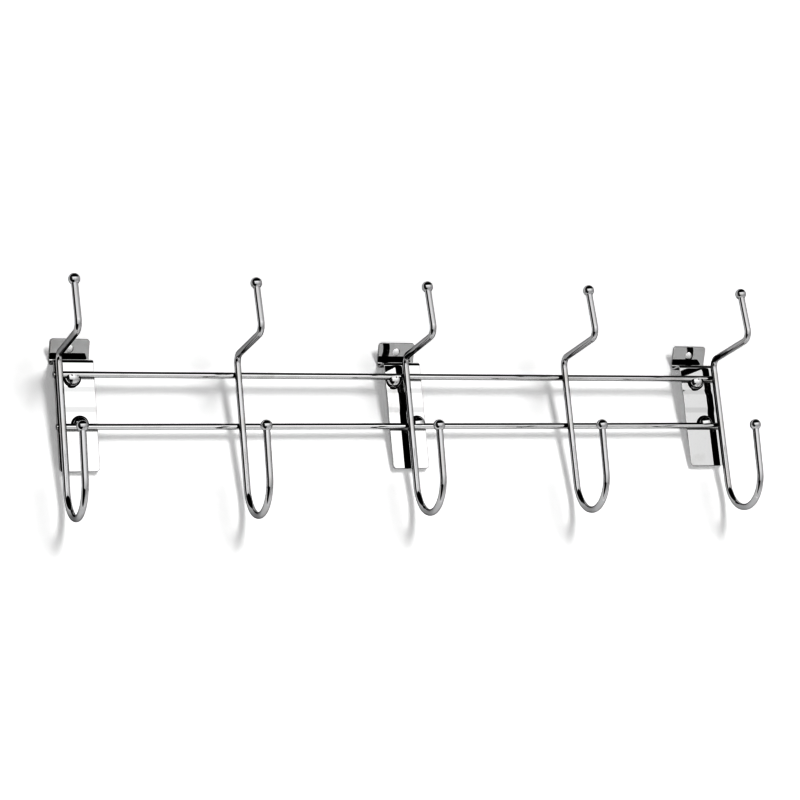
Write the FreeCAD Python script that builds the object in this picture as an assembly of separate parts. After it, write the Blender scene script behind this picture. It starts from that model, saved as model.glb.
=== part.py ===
import FreeCAD, Part
import math
import os
from FreeCAD import Vector

# Wall hook rack: five bent-wire double hooks, welded across two wire rails
# that are carried by three bent sheet brackets.  Millimetres, +Z up.
# X runs along the rack, the wall is on the +Y side and the hooks reach out
# towards -Y.  The origin is on the middle bracket's centre line, where the
# plane of the plates' backs meets the plane of the ledges' undersides.

# ---------------------------------------------------------------- hooks
HOOK_COUNT = 5
HOOK_SPACING = 150.0
HOOK_WIRE_D = 5.5
WELD_SET_DOWN = 0.5          # how far a shank is pressed into a rail by its weld
ARM_FOOT_Z = 4.0             # where the arm leaves the shank
ARM_REACH = 64.5             # shank axis to the prong's foot
ARM_RISE = 3.5               # how much the arm climbs on its way out
ARM_BEND_R = 8.0
PRONG_HEIGHT = 41.0          # prong's foot to the upper ball's centre
PRONG_LEAN = 5.0             # the prong's tip stands this much nearer the wall
J_RADIUS = 27.5
J_CENTRE_Z = -107.0
J_TIP_RUN = 40.0             # straight part of the J, up to the lower ball's centre
J_TIP_LEAN = 2.6             # degrees outwards

# ---------------------------------------------------------------- ball tips
BALL_D = 9.5
SOCKET_DEPTH = 4.5           # blind bore in the ball, filled by the wire's end
SOCKET_GAP = 0.05            # on the radius

# ---------------------------------------------------------------- rails
RAIL_WIRE_D = 5.0
RAIL_OVERHANG = 4.0          # past the end hooks' axes
RAIL_END_CHAMFER = 0.5
UPPER_RAIL_Z = -11.6
RAIL_PITCH = 43.0

# ---------------------------------------------------------------- brackets
SHEET_T = 2.0
PLATE_W = 33.0
PLATE_BOTTOM_Z = -90.5
PLATE_CORNER_R = 3.0
PLATE_PAST_HOOK = 2.5        # end plates reach this far past the end hooks' axes
TOP_BEND_R = 2.5             # all bend radii are to the middle of the sheet
LEDGE_DEPTH = 16.1           # plate's middle plane to the corner of the foot bend
FOOT_BEND_R = 3.5
TAB_LEAN = 27.5              # degrees, the tab's top leans out from the wall
TAB_LENGTH = 22.0            # corner of the foot bend to the top edge, along the slope
TAB_CORNER_R = 2.5
TAB_HOLE_D = 6.5
TAB_HOLE_DROP = 8.0          # top edge to the hole's centre, along the slope
SWAGE_TOP_Z = -21.0          # shallow raised panel pressed between the rails
SWAGE_BOTTOM_Z = -42.0
SWAGE_RAMP = 4.5
SWAGE_HEIGHT = 0.6
SWAGE_BEND_R = 8.0
RIM_ROUND = 0.5              # on the edges of the sheet, left by polishing
SQUARE_TOLERANCE = 0.2       # cosine between faces that counts as square

# ---------------------------------------------------------------- lugs
LUG_STAND_OUT = 2.0          # how far a half-round lug stands out past its rail
LUG_T = 1.6
LUG_LIP = 1.5                # how far the lug's lip laps over the rail's front
LUG_GAP = 0.05               # between a rail and the lug that carries it
LIP_GAP = 0.15
LUG_SHIFT_END = 2.0          # upper lug left and lower lug right of the plate's centre
LUG_TO_SHANK = 1.4           # the middle plate's lugs stand clear of its shank

# ---------------------------------------------------------------- derived
PLATE_FRONT_Y = -SHEET_T
PLATE_MID_Y = -SHEET_T / 2
LEDGE_MID_Z = SHEET_T / 2
RAIL_Y = PLATE_FRONT_Y - RAIL_WIRE_D / 2
LOWER_RAIL_Z = UPPER_RAIL_Z - RAIL_PITCH
SHANK_Y = RAIL_Y - (RAIL_WIRE_D + HOOK_WIRE_D) / 2 + WELD_SET_DOWN
HOOK_X = [(i - (HOOK_COUNT - 1) / 2) * HOOK_SPACING for i in range(HOOK_COUNT)]
RAIL_HALF = HOOK_X[-1] + RAIL_OVERHANG
END_PLATE_X = HOOK_X[-1] + PLATE_PAST_HOOK - PLATE_W / 2
LUG_R = RAIL_WIRE_D + LUG_STAND_OUT
LUG_SHIFT_MIDDLE = math.sqrt((LUG_R + HOOK_WIRE_D / 2 + LUG_TO_SHANK) ** 2
                             - (PLATE_FRONT_Y - SHANK_Y) ** 2)
CUT_DEPTH = 4 * SHEET_T      # a cut through the sheet starts and ends outside it
BRACKETS = {
    "left_bracket": (-END_PLATE_X, LUG_SHIFT_END),
    "middle_bracket": (0.0, LUG_SHIFT_MIDDLE),
    "right_bracket": (END_PLATE_X, LUG_SHIFT_END),
}


def profile_point(y, z):
    return Vector(0, y, z)


def slope(degrees):
    """Unit vector in the side view, tilted from straight up towards the wall."""
    angle = math.radians(degrees)
    return Vector(0, math.sin(angle), math.cos(angle))


def bend(before, corner, after, radius):
    """Start, middle and end of the arc that rounds a corner, and its centre."""
    back = (before - corner).normalize()
    ahead = (after - corner).normalize()
    half = back.getAngle(ahead) / 2
    run = radius / math.tan(half)
    bisector = (back + ahead).normalize()
    centre = corner + bisector * (radius / math.sin(half))
    return corner + back * run, centre - bisector * radius, corner + ahead * run, centre


def bent_edges(points, radii):
    """Straight runs joined by tangent arcs."""
    edges = []
    start = points[0]
    for before, corner, after, radius in zip(points, points[1:], points[2:], radii):
        enter, middle, leave, _ = bend(before, corner, after, radius)
        edges.append(Part.makeLine(start, enter))
        edges.append(Part.Arc(enter, middle, leave).toShape())
        start = leave
    edges.append(Part.makeLine(start, points[-1]))
    return edges


def sheet_face_edges(points, radii, distance):
    """The line that a bent sheet's face follows, this far left of its middle line."""
    def shifted(point, a, b):
        along = (b - a).normalize()
        return point + Vector(0, -along.z, along.y) * distance

    edges = []
    start = shifted(points[0], points[0], points[1])
    for before, corner, after, radius in zip(points, points[1:], points[2:], radii):
        enter, middle, leave, centre = bend(before, corner, after, radius)
        turn = (corner - before).cross(after - corner).x
        scale = (radius - distance * math.copysign(1, turn)) / radius
        enter, middle, leave = (centre + (p - centre) * scale for p in (enter, middle, leave))
        edges.append(Part.makeLine(start, enter))
        edges.append(Part.Arc(enter, middle, leave).toShape())
        start = leave
    edges.append(Part.makeLine(start, shifted(points[-1], points[-2], points[-1])))
    return edges


def bent_sheet(points, radii, thickness, width):
    """A strip of sheet bent along a side profile, centred on X."""
    left = sheet_face_edges(points, radii, thickness / 2)
    right = sheet_face_edges(points, radii, -thickness / 2)
    first = Part.makeLine(left[0].valueAt(left[0].FirstParameter),
                          right[0].valueAt(right[0].FirstParameter))
    last = Part.makeLine(left[-1].valueAt(left[-1].LastParameter),
                         right[-1].valueAt(right[-1].LastParameter))
    outline = Part.Wire(Part.__sortEdges__(left + [last] + right + [first]))
    strip = Part.Face(outline).extrude(Vector(width, 0, 0))
    strip.translate(Vector(-width / 2, 0, 0))
    return strip


def wire_solid(edges, diameter):
    """Round wire along a path in the side view."""
    start = edges[0].valueAt(edges[0].FirstParameter)
    along = edges[0].tangentAt(edges[0].FirstParameter)
    section = Part.Face(Part.Wire(Part.makeCircle(diameter / 2, start, along)))
    return Part.Wire(edges).makePipe(section)


def corner_cutter(radius, corner, sideways, inwards, through):
    """What a rounded corner takes off a sheet; all three directions are unit vectors."""
    centre = corner + sideways * radius + inwards * radius
    square = Part.makePolygon([corner, corner + sideways * radius, centre,
                               corner + inwards * radius, corner])
    block = Part.Face(square).extrude(through * CUT_DEPTH)
    rod = Part.makeCylinder(radius, CUT_DEPTH, centre, through)
    waste = block.cut(rod)
    waste.translate(through * (-CUT_DEPTH / 2))
    return waste


def rim_edges(sheet):
    """The sharp edges of a sheet, where a broad face meets a cut one squarely."""
    sharp = []
    for edge in sheet.Edges:
        middle = edge.valueAt((edge.FirstParameter + edge.LastParameter) / 2)
        normals = [face.normalAt(*face.Surface.parameter(middle))
                   for face in sheet.ancestorsOfType(edge, Part.Face)]
        if len(normals) == 2 and abs(normals[0].dot(normals[1])) < SQUARE_TOLERANCE:
            sharp.append(edge)
    return sharp


def hook_wire(x):
    shank_top = profile_point(SHANK_Y, ARM_FOOT_Z)
    prong_foot = shank_top + Vector(0, -ARM_REACH, ARM_RISE)
    upper_tip = prong_foot + Vector(0, PRONG_LEAN, PRONG_HEIGHT)
    bend_start = profile_point(SHANK_Y, J_CENTRE_Z)
    edges = bent_edges([upper_tip, prong_foot, shank_top, bend_start],
                       [ARM_BEND_R, ARM_BEND_R])
    centre = bend_start - Vector(0, J_RADIUS, 0)
    rise = slope(-J_TIP_LEAN)
    outwards = Vector(0, -rise.z, rise.y)
    bottom = centre - slope(-J_TIP_LEAN / 2) * J_RADIUS
    bend_end = centre + outwards * J_RADIUS
    lower_tip = bend_end + rise * J_TIP_RUN
    edges.append(Part.Arc(bend_start, bottom, bend_end).toShape())
    edges.append(Part.makeLine(bend_end, lower_tip))
    wire = wire_solid(edges, HOOK_WIRE_D)
    for rail_z in (UPPER_RAIL_Z, LOWER_RAIL_Z):
        wire = wire.cut(rail(rail_z))
    wire.translate(Vector(x, 0, 0))
    return wire, upper_tip, (upper_tip - prong_foot).normalize(), lower_tip, rise


def ball_tip(x, wire_end, out_of_hook):
    """A ball with a blind bore, closed on the end of the wire."""
    centre = wire_end + out_of_hook * (BALL_D / 2 - SOCKET_DEPTH)
    ball = Part.makeSphere(BALL_D / 2, centre)
    bore = Part.makeCylinder(HOOK_WIRE_D / 2 + SOCKET_GAP, BALL_D, wire_end, out_of_hook * -1)
    tip = ball.cut(bore)
    tip.translate(Vector(x, 0, 0))
    return tip


def rail(z):
    rod = Part.makeCylinder(RAIL_WIRE_D / 2, 2 * RAIL_HALF,
                            Vector(-RAIL_HALF, RAIL_Y, z), Vector(1, 0, 0))
    ends = [edge for edge in rod.Edges if edge.BoundBox.XLength < RAIL_END_CHAMFER]
    return rod.makeChamfer(RAIL_END_CHAMFER, ends)


def pressed_lug(plate, x, rail_z, away):
    """Press a hollow half-round lug out of a plate, on one side of a rail.

    away is -1 for a lug under its rail and +1 for one above it."""
    seat_z = rail_z + away * (RAIL_WIRE_D / 2 + LUG_GAP)
    lip_z = rail_z + away * (RAIL_WIRE_D / 2 - LUG_LIP)
    centre = Vector(x, PLATE_FRONT_Y, seat_z)
    lip_y = PLATE_FRONT_Y - RAIL_WIRE_D - LIP_GAP
    room = 4 * LUG_R

    def beyond(z, front_y):
        """Everything on the rail's side of a height, from one depth backwards."""
        low = z if away < 0 else z - room
        return Part.makeBox(room, room, room, Vector(x - room / 2, front_y, low))

    shell = Part.makeSphere(LUG_R, centre)
    shell = shell.cut(Part.makeBox(room, room, 2 * room,
                                   Vector(x - room / 2, PLATE_FRONT_Y, seat_z - room)))
    shell = shell.cut(beyond(seat_z, lip_y))
    shell = shell.cut(beyond(lip_z, PLATE_FRONT_Y - room))
    hollow = Part.makeSphere(LUG_R - LUG_T, centre).cut(beyond(seat_z, PLATE_FRONT_Y))
    return plate.fuse(shell).cut(hollow)


def bracket(x, lug_shift):
    ledge_back = profile_point(PLATE_MID_Y + LEDGE_DEPTH, LEDGE_MID_Z)
    tab_up = slope(-TAB_LEAN)
    tab_top = ledge_back + tab_up * TAB_LENGTH
    raised_y = PLATE_MID_Y - SWAGE_HEIGHT
    profile = [
        tab_top,
        ledge_back,
        profile_point(PLATE_MID_Y, LEDGE_MID_Z),
        profile_point(PLATE_MID_Y, SWAGE_TOP_Z),
        profile_point(raised_y, SWAGE_TOP_Z - SWAGE_RAMP),
        profile_point(raised_y, SWAGE_BOTTOM_Z + SWAGE_RAMP),
        profile_point(PLATE_MID_Y, SWAGE_BOTTOM_Z),
        profile_point(PLATE_MID_Y, PLATE_BOTTOM_Z),
    ]
    radii = [FOOT_BEND_R, TOP_BEND_R] + 4 * [SWAGE_BEND_R]
    plate = bent_sheet(profile, radii, SHEET_T, PLATE_W)

    half = Vector(PLATE_W / 2, 0, 0)
    tab_normal = Vector(0, tab_up.z, -tab_up.y)
    for sideways in (Vector(1, 0, 0), Vector(-1, 0, 0)):
        edge = half * sideways.x * -1
        plate = plate.cut(corner_cutter(TAB_CORNER_R, tab_top + edge, sideways,
                                        tab_up * -1, tab_normal))
        plate = plate.cut(corner_cutter(PLATE_CORNER_R, profile[-1] + edge, sideways,
                                        Vector(0, 0, 1), Vector(0, 1, 0)))
    plate = plate.makeFillet(RIM_ROUND, rim_edges(plate))

    hole_centre = tab_top - tab_up * TAB_HOLE_DROP
    plate = plate.cut(Part.makeCylinder(TAB_HOLE_D / 2, CUT_DEPTH,
                                        hole_centre - tab_normal * (CUT_DEPTH / 2), tab_normal))
    plate = pressed_lug(plate, -lug_shift, UPPER_RAIL_Z, -1)
    plate = pressed_lug(plate, lug_shift, LOWER_RAIL_Z, 1)
    plate.translate(Vector(x, 0, 0))
    return plate


def build():
    nodes = {"upper_rail": rail(UPPER_RAIL_Z), "lower_rail": rail(LOWER_RAIL_Z)}
    for name, (x, lug_shift) in BRACKETS.items():
        nodes[name] = bracket(x, lug_shift)
    for number, x in enumerate(HOOK_X, start=1):
        wire, upper_tip, upper_out, lower_tip, lower_out = hook_wire(x)
        nodes[f"hook_{number}"] = wire
        nodes[f"upper_ball_{number}"] = ball_tip(x, upper_tip, upper_out)
        nodes[f"lower_ball_{number}"] = ball_tip(x, lower_tip, lower_out)
    return nodes


def main():
    os.makedirs("parts", exist_ok=True)
    for name, shape in build().items():
        shape.removeSplitter().exportStep(f"parts/{name}.step")


main()
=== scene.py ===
import math

import bmesh
import bpy
from mathutils import Matrix, Vector


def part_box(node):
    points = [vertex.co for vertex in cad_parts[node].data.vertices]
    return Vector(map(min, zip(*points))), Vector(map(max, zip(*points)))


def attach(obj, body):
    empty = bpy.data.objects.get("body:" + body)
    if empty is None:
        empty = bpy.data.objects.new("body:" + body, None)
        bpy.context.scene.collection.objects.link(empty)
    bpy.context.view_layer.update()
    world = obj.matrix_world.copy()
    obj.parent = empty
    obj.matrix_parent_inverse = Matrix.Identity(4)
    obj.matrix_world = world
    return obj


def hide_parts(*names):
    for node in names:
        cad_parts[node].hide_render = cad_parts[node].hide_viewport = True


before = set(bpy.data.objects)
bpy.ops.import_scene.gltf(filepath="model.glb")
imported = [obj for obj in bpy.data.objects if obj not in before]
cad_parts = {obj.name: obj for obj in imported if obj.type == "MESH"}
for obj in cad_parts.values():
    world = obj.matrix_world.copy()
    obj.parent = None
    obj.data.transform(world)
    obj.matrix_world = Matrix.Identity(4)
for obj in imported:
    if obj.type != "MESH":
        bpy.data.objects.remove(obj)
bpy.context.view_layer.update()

bl_info = {
    "name": "Wall hook rack",
    "version": (1, 0, 0),
    "blender": (4, 5, 0),
    "location": "View3D > Sidebar > Hook rack",
    "description": "Builds a chromed wire hook rack on three brackets, with its stage",
    "category": "Add Mesh",
}

ROOT = "root"
UP = Vector((0, 0, 1))
HOOKS = sorted(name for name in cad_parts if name.startswith("hook_"))
BRACKETS = sorted(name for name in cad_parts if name.endswith("_bracket"))
RAILS = sorted(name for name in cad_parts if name.endswith("_rail"))


# ------------------------------------------------------------------ sizes

def length(name, default, description):
    return bpy.props.FloatProperty(name=name, description=description, default=default,
                                   min=0.0, unit="LENGTH", precision=4)


def angle(name, degrees, description):
    return bpy.props.FloatProperty(name=name, description=description,
                                   default=math.radians(degrees), unit="ROTATION")


def colour(name, default, description):
    return bpy.props.FloatVectorProperty(name=name, description=description, default=default,
                                         size=3, min=0.0, max=1.0, subtype="COLOR")


def share(name, default, description, top=1.0):
    return bpy.props.FloatProperty(name=name, description=description, default=default,
                                   min=0.0, max=top)


def amount(name, default, description):
    return bpy.props.FloatProperty(name=name, description=description, default=default, min=0.0)


def count(name, default, description):
    return bpy.props.IntProperty(name=name, description=description, default=default, min=3)


class HookSizes(bpy.types.PropertyGroup):
    """The bends of one wire hook, seen from its side."""
    arm_foot: length("Arm foot", 0.004, "Height at which the arm leaves the shank")
    arm_reach: length("Arm reach", 0.0645, "From the shank out to the prong")
    arm_rise: length("Arm rise", 0.0035, "How much the arm climbs on its way out")
    arm_bend: length("Arm bend", 0.008, "Radius of the bends at both ends of the arm")
    prong_height: length("Prong height", 0.041, "From the prong's foot to its tip")
    prong_lean: length("Prong lean", 0.005, "How much nearer the wall the prong's tip is")
    j_radius: length("Lower bend", 0.0275, "Radius of the lower hook's round bend")
    j_run: length("Lower run", 0.040, "Straight end of the lower hook")
    j_lean: angle("Lower lean", 2.6, "How far the lower hook's end leans outwards")
    sides: count("Sides", 48, "Faces round the wire")
    bend_steps: count("Steps in a bend", 14, "Faces along one arm bend")
    j_steps: count("Steps in the lower bend", 56, "Faces along the lower hook's bend")


class BallSizes(bpy.types.PropertyGroup):
    """A ball tip with the bore that takes the wire's end."""
    diameter: length("Ball", 0.0095, "Diameter of a ball tip")
    depth: length("Bore depth", 0.0045, "How far the wire's end goes into the ball")
    gap: length("Bore gap", 0.00005, "Room round the wire in the bore, on the radius")
    mouth: length("Mouth round", 0.0002, "Rounding of the bore's mouth")
    mouth_steps: count("Mouth steps", 3, "Faces across the mouth's rounding")
    sides: count("Sides", 64, "Faces round a ball")
    rings: count("Rings", 48, "Rings of faces from one pole of a ball to the other")


class RailSizes(bpy.types.PropertyGroup):
    """The two straight wires that carry the hooks."""
    end_round: length("End round", 0.0005, "Rounding of a rail's ends")
    end_steps: count("End steps", 4, "Faces across an end's rounding")
    sides: count("Sides", 64, "Faces round a rail")


class ChromeFinish(bpy.types.PropertyGroup):
    """Bright chrome plating, and the marks on it."""
    hook_tint: colour("Hook tint", (0.61, 0.61, 0.615), "Mirror colour of the plated hooks")
    rail_tint: colour("Rail tint", (0.74, 0.74, 0.74), "Mirror colour of the plated rails")
    sheet_tint: colour("Sheet tint", (0.71, 0.71, 0.71), "Mirror colour of the plated sheet")
    hook_rim: colour("Hook rim", (0.35, 0.35, 0.35), "Mirror colour at a hook's glancing rim")
    rail_rim: colour("Rail rim", (0.0, 0.0, 0.0), "Mirror colour at a rail's glancing rim")
    sheet_rim: colour("Sheet rim", (0.1, 0.1, 0.1), "Mirror colour at the sheet's glancing rim")
    haze_tint: colour("Haze tint", (0.57, 0.56, 0.55), "Mirror colour under a thin haze")
    polish: share("Polish", 0.045, "Roughness of the clean plating")
    haze: share("Haze", 0.13, "Roughness of smudges and of the plating round a weld")
    smudge_scale: amount("Smudge scale", 38.0, "Smudges to a metre")
    pit_scale: amount("Pit scale", 900.0, "Pits to a metre")
    grain_scale: amount("Grain scale", 260.0, "Drawn lines to a metre, across the grain")
    wave_scale: amount("Wave scale", 120.0, "Waves of the surface to a metre")
    weld_core: length("Weld core", 0.003, "Fully hazed height above and below a weld")
    weld_reach: length("Weld reach", 0.0075, "Where the haze of a weld ends")
    bump: length("Bump", 0.00003, "Height of the waves, lines and pits")
    bump_strength: share("Bump strength", 0.35, "How much of the bump shows")


class StageSettings(bpy.types.PropertyGroup):
    """Where the rack is looked at from, and what stands round it."""
    camera_at: bpy.props.FloatVectorProperty(
        name="Camera", description="Where the camera stands", size=3, unit="LENGTH",
        default=(-0.78387, -1.78667, -0.46725))
    azimuth: angle("Azimuth", -23.58, "Camera's turn round the rack, below zero to its left")
    elevation: angle("Elevation", -12.62, "Camera's height over the rack, below zero from under it")
    roll: angle("Roll", -5.30, "Camera's tilt about its own axis")
    lens: bpy.props.FloatProperty(name="Lens", description="Focal length in millimetres",
                                  default=106.28, min=1.0)
    sensor: bpy.props.FloatProperty(name="Sensor", description="Sensor width in millimetres",
                                    default=36.0, min=1.0)
    paper: colour("Paper", (0.86, 0.86, 0.86), "Backdrop behind the rack")
    floor: colour("Floor", (0.80, 0.80, 0.80), "Pale floor far under the rack")
    backdrop_at: bpy.props.FloatVectorProperty(
        name="Backdrop", description="A point of the backdrop", size=3, unit="LENGTH",
        default=(0.0, 0.0141, 0.003))
    backdrop_lean: angle("Backdrop lean", 6.9, "How far the backdrop's top leans from the rack")
    width: length("Width", 8.0, "Width of the backdrop and floor, and the backdrop's height")
    floor_drop: length("Floor drop", 1.0, "From the rack down to the floor")
    floor_depth: length("Floor depth", 3.2, "Size of the floor from back to front")
    low_light: amount("Low light", 1.06, "Strength of the lower light")
    high_light: amount("High light", 0.84, "Strength of the higher light")
    light_spread: angle("Light spread", 16.0, "How large the lights are, as seen from the rack")
    gamma: share("Gamma", 0.55, "Under 1, it darkens the middle tones")


class RoomSettings(bpy.types.PropertyGroup):
    """How bright the room is that the chrome mirrors."""
    front: amount("Front", 1.42, "Brightness in front and on the near right")
    right_dip: share("Right dip", 0.29, "How much it falls on the right")
    far_dip: share("Far dip", 0.25, "How much it falls again on the far right")
    level: share("Level", 0.23, "Height where the front is brightest, as part of a direction")
    level_dip: share("Level dip", 0.55, "How fast it falls above and below that height")
    left_dark: share("Left", 0.93, "How dark the left side is")
    fill: share("Fill", 0.20, "Plain light from all round")
    seen: share("Seen", 0.75, "What is seen past the stage, on top of the fill")


# -------------------------------------------------------------- materials

class Value:
    """A shader number: sums written with it add their Math nodes."""

    def __init__(self, shader, socket):
        self.shader = shader
        self.socket = socket

    def _maths(self, operation, first, second):
        return self.shader.value("ShaderNodeMath", {"operation": operation}, {0: first, 1: second})

    def __add__(self, other):
        return self._maths("ADD", self, other)

    def __sub__(self, other):
        return self._maths("SUBTRACT", self, other)

    def __mul__(self, other):
        return self._maths("MULTIPLY", self, other)

    def __truediv__(self, other):
        return self._maths("DIVIDE", self, other)

    def __radd__(self, other):
        return self._maths("ADD", other, self)

    def __rsub__(self, other):
        return self._maths("SUBTRACT", other, self)

    def __rmul__(self, other):
        return self._maths("MULTIPLY", other, self)

    def __rtruediv__(self, other):
        return self._maths("DIVIDE", other, self)

    def __abs__(self):
        return self._maths("ABSOLUTE", self, 0.0)

    def smooth(self, low, high):
        """0 under low, 1 over high, and a soft step between them."""
        return self.shader.value("ShaderNodeMapRange",
                                 {"interpolation_type": "SMOOTHSTEP"},
                                 {"Value": self, "From Min": low, "From Max": high})


class Shader:
    """A node tree that is written from Python."""

    def __init__(self, tree):
        self.tree = tree
        tree.nodes.clear()

    def node(self, kind, settings=None, sockets=None):
        made = self.tree.nodes.new(kind)
        for key, setting in (settings or {}).items():
            setattr(made, key, setting)
        named = {socket.identifier: socket for socket in made.inputs}
        for key, given in (sockets or {}).items():
            socket = named[key] if key in named else made.inputs[key]
            given = given.socket if isinstance(given, Value) else given
            if isinstance(given, bpy.types.NodeSocket):
                self.tree.links.new(given, socket)
            else:
                socket.default_value = given
        return made

    def value(self, kind, settings, sockets, output=0):
        return Value(self, self.node(kind, settings, sockets).outputs[output])

    def mix_colours(self, factor, first, second):
        mixed = self.node("ShaderNodeMix", {"data_type": "RGBA"}, {
            "Factor_Float": factor, "A_Color": first, "B_Color": second})
        return next(out for out in mixed.outputs if out.identifier == "Result_Color")


def opaque(rgb):
    return (*rgb, 1.0)


def grey(level):
    return (level, level, level, 1.0)


# The drawn grain is noise that a small scale along one axis stretches into lines.
GRAIN_UPRIGHT = (1.0, 1.0, 0.05)
GRAIN_ACROSS = (0.05, 1.0, 1.0)
GRAIN_SHEET = (1.0, 1.0, 0.2)
GRAIN_NONE = (1.0, 1.0, 1.0)

# Between these levels of its noise, a mark fades in.
SMUDGE_EDGE = (0.52, 0.72)
PIT_EDGE = (0.66, 0.74)

# How much each mark hazes the plating's colour, roughens it and lifts it.
HAZE_SHARES = {"smudges": 0.45, "welds": 0.5}
ROUGH_SHARES = {"smudges": 0.4, "pits": 0.3, "grain": 0.18, "welds": 0.4}
BUMP_SHARES = {"waves": 0.8, "grain": 0.25, "pits": -0.15}


def weighted(marks, shares):
    return sum(marks[mark] * weight for mark, weight in shares.items())


def chrome(name, tint, rim, finish, grain_stretch, weld_heights):
    """Bright plating with fine waviness, smudges and a haze round the welds."""
    material = bpy.data.materials.new(name)
    material.use_nodes = True
    shader = Shader(material.node_tree)
    place = shader.node("ShaderNodeTexCoord").outputs["Object"]
    stretched = shader.node("ShaderNodeMapping", None,
                            {"Vector": place, "Scale": grain_stretch}).outputs["Vector"]

    def noise(vector, scale, detail):
        return shader.value("ShaderNodeTexNoise", None,
                            {"Vector": vector, "Scale": scale, "Detail": detail}, "Fac")

    height = shader.value("ShaderNodeSeparateXYZ", None, {"Vector": place}, "Z")
    marks = {
        "smudges": noise(place, finish.smudge_scale, 4.0).smooth(*SMUDGE_EDGE),
        "pits": noise(place, finish.pit_scale, 2.0).smooth(*PIT_EDGE),
        "grain": noise(stretched, finish.grain_scale, 3.0),
        "waves": noise(place, finish.wave_scale, 1.0),
        "welds": sum(1.0 - abs(height - weld_z).smooth(finish.weld_core, finish.weld_reach)
                     for weld_z in weld_heights)}
    base = shader.mix_colours(weighted(marks, HAZE_SHARES), opaque(tint),
                              opaque(finish.haze_tint))
    rough = finish.polish + weighted(marks, ROUGH_SHARES) * (finish.haze - finish.polish)
    bump = shader.node("ShaderNodeBump", None, {
        "Strength": finish.bump_strength, "Distance": finish.bump,
        "Height": weighted(marks, BUMP_SHARES)})
    surface = shader.node("ShaderNodeBsdfPrincipled", None, {
        "Base Color": base, "Metallic": 1.0, "Roughness": rough, "Specular Tint": opaque(rim),
        "Normal": bump.outputs["Normal"]})
    shader.node("ShaderNodeOutputMaterial", None, {"Surface": surface.outputs["BSDF"]})
    return material


# Light Path's Glossy Depth is 1 in a first mirror and 2 in the next.
SECOND_MIRROR = (1.4, 1.6)

# A stage sheet's glow, which is painted light, changes between these places in front of the rack,
# in metres.
GLOW_CHANGE = (-0.95, -0.55)

# The width, in metres, over which its left side turns dark in the chrome, a painted reflection.
LEFT_FADE = 0.4

# The mottle of a stage sheet: how much of it there is, and its shade of the colour.
MOTTLE_SHARE = 0.1
MOTTLE_SHADE = 0.9


def mirrored_light(shader):
    """1 for what a first mirror shows, 0 for a mirror in a mirror."""
    depth = Value(shader, shader.node("ShaderNodeLightPath").outputs["Glossy Depth"])
    return 1.0 - depth.smooth(*SECOND_MIRROR)


def one_sided(name, rgb, roughness, glow, pool, dark_left, in_mirrors, in_deep_mirrors):
    """Plain paper or paint that shows only from its front and glows a little.

    pool is how much more it glows under the rack than further out in front, and
    left of dark_left the chrome mirrors it as dark.
    in_mirrors is how bright it looks in the chrome, against how it looks by itself,
    and in_deep_mirrors the same for chrome seen in chrome."""
    material = bpy.data.materials.new(name)
    material.use_nodes = True
    shader = Shader(material.node_tree)
    place = shader.node("ShaderNodeTexCoord").outputs["Object"]
    mottle = shader.value("ShaderNodeTexNoise", None,
                          {"Vector": place, "Scale": 3.0, "Detail": 3.0}, "Fac")
    base = shader.mix_colours(mottle * MOTTLE_SHARE, opaque(rgb),
                              opaque([part * MOTTLE_SHADE for part in rgb]))
    parts = shader.node("ShaderNodeSeparateXYZ", None, {"Vector": place})
    # Painted light: the sheet glows, and where pool is over 1 it glows brighter under the rack than
    # further out in front, a painted pool of light.
    under = Value(shader, parts.outputs["Y"]).smooth(*GLOW_CHANGE)
    # Painted reflection: here and below, the chrome shows the sheet at in_mirrors of its
    # brightness, at in_deep_mirrors in chrome seen in chrome, and black left of dark_left.
    lit = Value(shader, parts.outputs["X"]).smooth(dark_left - LEFT_FADE, dark_left)
    glows = shader.mix_colours(under, grey(1.0), grey(pool))
    front = shader.node("ShaderNodeBsdfPrincipled", None, {
        "Base Color": base, "Roughness": roughness, "Specular IOR Level": 0.1,
        "Emission Color": glows, "Emission Strength": glow})
    glossy = Value(shader, shader.node("ShaderNodeLightPath").outputs["Is Glossy Ray"])
    first = mirrored_light(shader)
    seen = (first * (in_mirrors - in_deep_mirrors) + in_deep_mirrors) * lit
    dimmed = glossy * (1.0 - seen)
    dark = shader.node("ShaderNodeBsdfDiffuse", None, {"Color": grey(0.0)})
    shown = shader.node("ShaderNodeMixShader", None, {
        "Fac": dimmed, 1: front.outputs["BSDF"], 2: dark.outputs["BSDF"]})
    clear = shader.node("ShaderNodeBsdfTransparent")
    behind = shader.node("ShaderNodeNewGeometry").outputs["Backfacing"]
    mixed = shader.node("ShaderNodeMixShader", None, {
        "Fac": behind, 1: shown.outputs["Shader"], 2: clear.outputs["BSDF"]})
    shader.node("ShaderNodeOutputMaterial", None, {"Surface": mixed.outputs["Shader"]})
    return material


# ----------------------------------------------------------------- meshes

def finished(name, mesh_maker, material, replaced, sharp_over=40.0):
    """Turn a bmesh into a piece that stands for CAD nodes, which it hides, and rides with the root
    body.
    """
    bmesh.ops.recalc_face_normals(mesh_maker, faces=mesh_maker.faces)
    mesh = bpy.data.meshes.new(name)
    mesh_maker.to_mesh(mesh)
    mesh_maker.free()
    mesh.shade_smooth()
    mesh.set_sharp_from_angle(angle=math.radians(sharp_over))
    mesh.materials.append(material)
    piece = bpy.data.objects.new(name, mesh)
    bpy.context.scene.collection.objects.link(piece)
    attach(piece, ROOT)
    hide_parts(*replaced)


def box_middle(node):
    low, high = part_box(node)
    return (low + high) / 2, high - low


def heading_of(step):
    return math.atan2(step.z, step.y)


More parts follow.
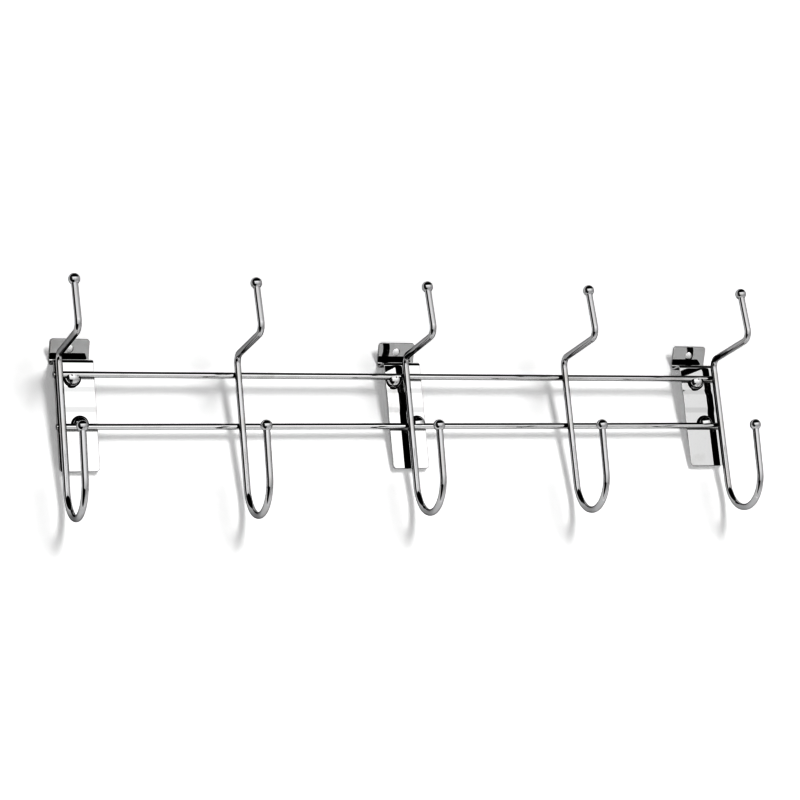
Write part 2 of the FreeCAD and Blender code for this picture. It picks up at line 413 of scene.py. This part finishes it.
class Sweep:
    """A section that is carried along a path in the side view, run by run.

    The heading is measured from +Y towards +Z."""

    def __init__(self, maker, edges, at, heading):
        self.maker = maker
        self.edges = edges
        self.at = at
        self.heading = heading

    def along(self):
        return Vector((0, math.cos(self.heading), math.sin(self.heading)))

    def run(self, distance):
        made = bmesh.ops.extrude_edge_only(self.maker, edges=self.edges)["geom"]
        fresh = [vert for vert in made if isinstance(vert, bmesh.types.BMVert)]
        step = self.along() * distance
        bmesh.ops.translate(self.maker, vec=step, verts=fresh)
        ring = set(fresh)
        self.edges = [edge for edge in made if isinstance(edge, bmesh.types.BMEdge)
                      and ring.issuperset(edge.verts)]
        self.at = self.at + step

    def turn(self, radius, by, steps):
        side = Vector((0, -math.sin(self.heading), math.cos(self.heading)))
        centre = self.at + side * math.copysign(radius, by)
        made = bmesh.ops.spin(self.maker, geom=self.edges, cent=centre, axis=(1, 0, 0),
                              angle=by, steps=steps, use_merge=False, use_duplicate=False)
        self.edges = [edge for edge in made["geom_last"] if isinstance(edge, bmesh.types.BMEdge)]
        self.at = centre + Matrix.Rotation(by, 3, "X") @ (self.at - centre)
        self.heading += by

    def follow(self, corners, radii, steps):
        """Straight runs to each corner in turn, with a bend at each but the last."""
        for corner, onward, radius in zip(corners, corners[1:], radii):
            by = heading_of(onward - corner) - self.heading
            by = (by + math.pi) % (2 * math.pi) - math.pi
            trimmed = radius * math.tan(abs(by) / 2)
            self.run((corner - self.at).length - trimmed)
            self.turn(radius, by, steps)
        self.run((corners[-1] - self.at).length)


def round_wire(maker, start, heading, radius, sides):
    """The first ring of a wire, square to its path."""
    turned = Matrix.Translation(start) @ Matrix.Rotation(heading - math.pi / 2, 4, "X")
    ring = bmesh.ops.create_circle(maker, segments=sides, radius=radius, matrix=turned)
    edges = {edge for vert in ring["verts"] for edge in vert.link_edges}
    return Sweep(maker, list(edges), start, heading)


def close_ends(maker):
    rims = [edge for edge in maker.edges if edge.is_boundary]
    return bmesh.ops.holes_fill(maker, edges=rims)["faces"]


def hook_points(node, sizes):
    """The corners of a hook's path and its wire's radius, from where its node lies."""
    low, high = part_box(node)
    radius = (high.x - low.x) / 2
    shank = Vector(((low.x + high.x) / 2, high.y - radius, 0))
    shank_top = shank + UP * sizes.arm_foot
    prong_foot = shank_top + Vector((0, -sizes.arm_reach, sizes.arm_rise))
    tip = prong_foot + Vector((0, sizes.prong_lean, sizes.prong_height))
    bend_start = shank + UP * (low.z + radius + sizes.j_radius)
    return radius, tip, prong_foot, shank_top, bend_start


def hook_wire(node, sizes):
    """A hook's wire, and where its two ends are and point."""
    radius, tip, prong_foot, shank_top, bend_start = hook_points(node, sizes)
    maker = bmesh.new()
    sweep = round_wire(maker, tip, heading_of(prong_foot - tip), radius, sizes.sides)
    sweep.follow([prong_foot, shank_top, bend_start], [sizes.arm_bend] * 2, sizes.bend_steps)
    sweep.turn(sizes.j_radius, sizes.j_lean - math.pi, sizes.j_steps)
    sweep.run(sizes.j_run)
    close_ends(maker)
    return maker, (tip, (tip - prong_foot).normalized()), (sweep.at, sweep.along())


def ball_tip(end, outwards, wire_radius, sizes):
    """A ball with a bore over the end of the wire."""
    radius = sizes.diameter / 2
    bore = wire_radius + sizes.gap
    mouth = -math.sqrt(radius ** 2 - bore ** 2)
    bore_end = radius - sizes.depth
    maker = bmesh.new()
    bmesh.ops.create_uvsphere(maker, u_segments=sizes.sides, v_segments=sizes.rings,
                              radius=radius)
    bmesh.ops.bisect_plane(maker, geom=maker.verts[:] + maker.edges[:] + maker.faces[:],
                           plane_co=UP * mouth, plane_no=UP, clear_inner=True)
    rim = [edge for edge in maker.edges if edge.is_boundary]
    made = bmesh.ops.extrude_edge_only(maker, edges=rim)["geom"]
    bmesh.ops.translate(maker, vec=UP * (-bore_end - mouth),
                        verts=[vert for vert in made if isinstance(vert, bmesh.types.BMVert)])
    close_ends(maker)
    bmesh.ops.bevel(maker, geom=rim, offset=sizes.mouth, segments=sizes.mouth_steps,
                    profile=0.5, affect="EDGES", material=-1)
    turned = UP.rotation_difference(outwards).to_matrix().to_4x4()
    centre = end + outwards * (radius - sizes.depth)
    bmesh.ops.transform(maker, matrix=Matrix.Translation(centre) @ turned, verts=maker.verts)
    return maker


def rail_wire(node, sizes):
    middle, size = box_middle(node)
    maker = bmesh.new()
    turned = Matrix.Translation(middle) @ Matrix.Rotation(math.pi / 2, 4, "Y")
    bmesh.ops.create_cone(maker, cap_ends=True, segments=sizes.sides, radius1=size.z / 2,
                          radius2=size.z / 2, depth=size.x, matrix=turned)
    ends = [edge for edge in maker.edges
            if abs(edge.verts[0].co.x - edge.verts[1].co.x) < size.z / 2]
    bmesh.ops.bevel(maker, geom=ends, offset=sizes.end_round, segments=sizes.end_steps,
                    profile=0.5, affect="EDGES", material=-1)
    return maker


# -------------------------------------------------------------- operators

def rail_heights():
    return [box_middle(node)[0].z for node in RAILS]


class RACK_OT_hooks(bpy.types.Operator):
    """Bend the wire hooks and put a ball tip on each end"""
    bl_idname = "rack.hooks"
    bl_label = "Hooks and ball tips"

    def execute(self, context):
        scene = context.scene
        finish = scene.rack_finish
        wire_chrome = chrome("chrome_wire", finish.hook_tint, finish.hook_rim, finish,
                             GRAIN_UPRIGHT, rail_heights())
        ball_chrome = chrome("chrome_ball", finish.hook_tint, finish.hook_rim, finish,
                             GRAIN_NONE, [])
        for node in HOOKS:
            number = node.rsplit("_", 1)[1]
            maker, upper, lower = hook_wire(node, scene.rack_hooks)
            radius = box_middle(node)[1].x / 2
            finished(f"hook_wire_{number}", maker, wire_chrome, [node])
            for place, (end, outwards) in (("upper", upper), ("lower", lower)):
                ball = ball_tip(end, outwards, radius, scene.rack_balls)
                finished(f"ball_tip_{place}_{number}", ball, ball_chrome,
                         [f"{place}_ball_{number}"], sharp_over=50.0)
        return {"FINISHED"}


class RACK_OT_rails(bpy.types.Operator):
    """Make the two straight rails with rounded ends"""
    bl_idname = "rack.rails"
    bl_label = "Rails"

    def execute(self, context):
        scene = context.scene
        finish = scene.rack_finish
        rail_chrome = chrome("chrome_rail", finish.rail_tint, finish.rail_rim, finish,
                             GRAIN_ACROSS, [])
        for node in RAILS:
            finished(f"{node}_wire", rail_wire(node, scene.rack_rails), rail_chrome, [node])
        return {"FINISHED"}


class RACK_OT_brackets(bpy.types.Operator):
    """Plate the three sheet brackets"""
    bl_idname = "rack.brackets"
    bl_label = "Brackets"

    def execute(self, context):
        scene = context.scene
        finish = scene.rack_finish
        sheet_chrome = chrome("chrome_sheet", finish.sheet_tint, finish.sheet_rim, finish,
                              GRAIN_SHEET, [])
        for node in BRACKETS:
            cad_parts[node].data.materials.clear()
            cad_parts[node].data.materials.append(sheet_chrome)
        return {"FINISHED"}


# Which way each lamp of the stage shines.
LAMPS = {
    "low_light": (-0.60, 2.0, -0.90),
    "high_light": (-0.60, 2.0, -1.42),
}

# Where the mirrored room gets darker. The first two are slants, sideways over
# forwards, and the others are the parts of a direction that go left, up and down.
NEAR_RIGHT = (0.42, 0.58)
FAR_RIGHT = (0.7, 2.0)
LEFT = (0.66, 0.86)
CEILING = (0.5, 0.6)
GROUND = (0.5, 0.8)

# Added to forwards, so that a slant stays finite straight to the side.
SLANT_EASE = 0.05

# How bright the front is at its brightest height, against its own setting.
LEVEL_PEAK = 1.06


def stage_sheet(name, middle, normal, width, depth, material):
    """A flat sheet of the stage, facing along its normal."""
    maker = bmesh.new()
    turned = Matrix.Translation(middle) @ UP.rotation_difference(normal).to_matrix().to_4x4()
    bmesh.ops.create_grid(maker, x_segments=1, y_segments=1, size=0.5,
                          matrix=turned @ Matrix.Diagonal((width, depth, 1, 1)))
    mesh = bpy.data.meshes.new(name)
    maker.to_mesh(mesh)
    maker.free()
    mesh.materials.append(material)
    sheet = bpy.data.objects.new(name, mesh)
    bpy.context.scene.collection.objects.link(sheet)


def soft_light(name, towards, strength, spread):
    """A far lamp with a soft edge to its shadows, which the chrome doesn't mirror."""
    lamp = bpy.data.lights.new(name, "SUN")
    lamp.energy = strength
    lamp.angle = spread
    light = bpy.data.objects.new(name, lamp)
    light.rotation_mode = "QUATERNION"
    light.rotation_quaternion = towards.to_track_quat("-Z", "Y")
    light.visible_glossy = False
    bpy.context.scene.collection.objects.link(light)


def room_light(scene):
    """The room as the chrome mirrors it: bright in front, dark on the left, above and below.

    What isn't a mirror gets plain light from it instead."""
    room = scene.rack_room
    world = bpy.data.worlds.new("room")
    scene.world = world
    world.use_nodes = True
    shader = Shader(world.node_tree)
    towards = shader.node("ShaderNodeTexCoord").outputs["Generated"]
    parts = shader.node("ShaderNodeSeparateXYZ", None, {"Vector": towards})
    across, depth, height = (Value(shader, parts.outputs[axis]) for axis in "XYZ")
    slant = across / (abs(depth) + SLANT_EASE)
    front = room.front - slant.smooth(*NEAR_RIGHT) * room.right_dip
    front = front - slant.smooth(*FAR_RIGHT) * room.far_dip
    front = front * (LEVEL_PEAK - abs(height - room.level) * room.level_dip)
    left = (0.0 - across).smooth(*LEFT) * room.left_dark
    ceiling = height.smooth(*CEILING)
    ground = (0.0 - height).smooth(*GROUND)
    mirrored = front * (1.0 - left) * (1.0 - ceiling) * (1.0 - ground) * mirrored_light(shader)
    ray = shader.node("ShaderNodeLightPath")
    glossy = Value(shader, ray.outputs["Is Glossy Ray"])
    looked_at = Value(shader, ray.outputs["Is Camera Ray"])
    bright = glossy * mirrored + (1.0 - glossy) * room.fill + looked_at * room.seen
    shader.node("ShaderNodeOutputWorld", None, {
        "Surface": shader.node("ShaderNodeBackground", None, {
            "Color": grey(1.0), "Strength": bright}).outputs["Background"]})


class RACK_OT_stage(bpy.types.Operator):
    """Set the backdrop, floor, lights and camera round the rack"""
    bl_idname = "rack.stage"
    bl_label = "Stage"

    def execute(self, context):
        scene = context.scene
        stage = scene.rack_stage
        paper = one_sided("backdrop_paper", stage.paper, roughness=0.9, glow=0.33, pool=1.0,
                          dark_left=-0.5, in_mirrors=0.92, in_deep_mirrors=0.0)
        floor = one_sided("floor_paint", stage.floor, roughness=0.7, glow=0.42, pool=1.5,
                          dark_left=-0.3, in_mirrors=0.78, in_deep_mirrors=0.78)
        facing = Vector((0, -1, math.tan(stage.backdrop_lean))).normalized()
        stage_sheet("backdrop", Vector(stage.backdrop_at), facing, stage.width, stage.width, paper)
        stage_sheet("floor", UP * -stage.floor_drop, UP, stage.width, stage.floor_depth, floor)
        for name, towards in LAMPS.items():
            soft_light(name, Vector(towards), getattr(stage, name), stage.light_spread)
        room_light(scene)

        camera = bpy.data.cameras.new("camera")
        camera.lens = stage.lens
        camera.sensor_width = stage.sensor
        eye = bpy.data.objects.new("camera", camera)
        az, el, roll = stage.azimuth, stage.elevation, stage.roll
        ahead = Vector((-math.sin(az) * math.cos(el), math.cos(az) * math.cos(el), -math.sin(el)))
        level = Vector((math.cos(az), math.sin(az), 0))
        upright = level.cross(ahead)
        across = level * math.cos(roll) + upright * math.sin(roll)
        above = upright * math.cos(roll) - level * math.sin(roll)
        eye.matrix_world = Matrix.Translation(stage.camera_at) @ Matrix(
            (across, above, -ahead)).transposed().to_4x4()
        scene.collection.objects.link(eye)
        scene.camera = eye
        scene.view_settings.view_transform = "Standard"
        scene.view_settings.gamma = stage.gamma
        return {"FINISHED"}


class RACK_PT_panel(bpy.types.Panel):
    """The rack's parts, in the order they are made"""
    bl_idname = "RACK_PT_panel"
    bl_label = "Wall hook rack"
    bl_space_type = "VIEW_3D"
    bl_region_type = "UI"
    bl_category = "Hook rack"

    def draw(self, context):
        for operator in OPERATORS:
            self.layout.operator(operator.bl_idname)
        for name in GROUPS:
            box = self.layout.box()
            group = getattr(context.scene, name)
            for prop in group.bl_rna.properties:
                if prop.identifier not in ("rna_type", "name"):
                    box.prop(group, prop.identifier)


OPERATORS = (RACK_OT_hooks, RACK_OT_rails, RACK_OT_brackets, RACK_OT_stage)
GROUPS = {
    "rack_hooks": HookSizes,
    "rack_balls": BallSizes,
    "rack_rails": RailSizes,
    "rack_finish": ChromeFinish,
    "rack_stage": StageSettings,
    "rack_room": RoomSettings,
}


def register():
    for name, group in GROUPS.items():
        bpy.utils.register_class(group)
        setattr(bpy.types.Scene, name, bpy.props.PointerProperty(type=group))
    for operator in OPERATORS:
        bpy.utils.register_class(operator)
    bpy.utils.register_class(RACK_PT_panel)


def unregister():
    bpy.utils.unregister_class(RACK_PT_panel)
    for operator in reversed(OPERATORS):
        bpy.utils.unregister_class(operator)
    for name, group in reversed(GROUPS.items()):
        delattr(bpy.types.Scene, name)
        bpy.utils.unregister_class(group)


def main():
    register()
    bpy.ops.rack.hooks()
    bpy.ops.rack.rails()
    bpy.ops.rack.brackets()
    bpy.ops.rack.stage()


if __name__ == "__main__":
    main()
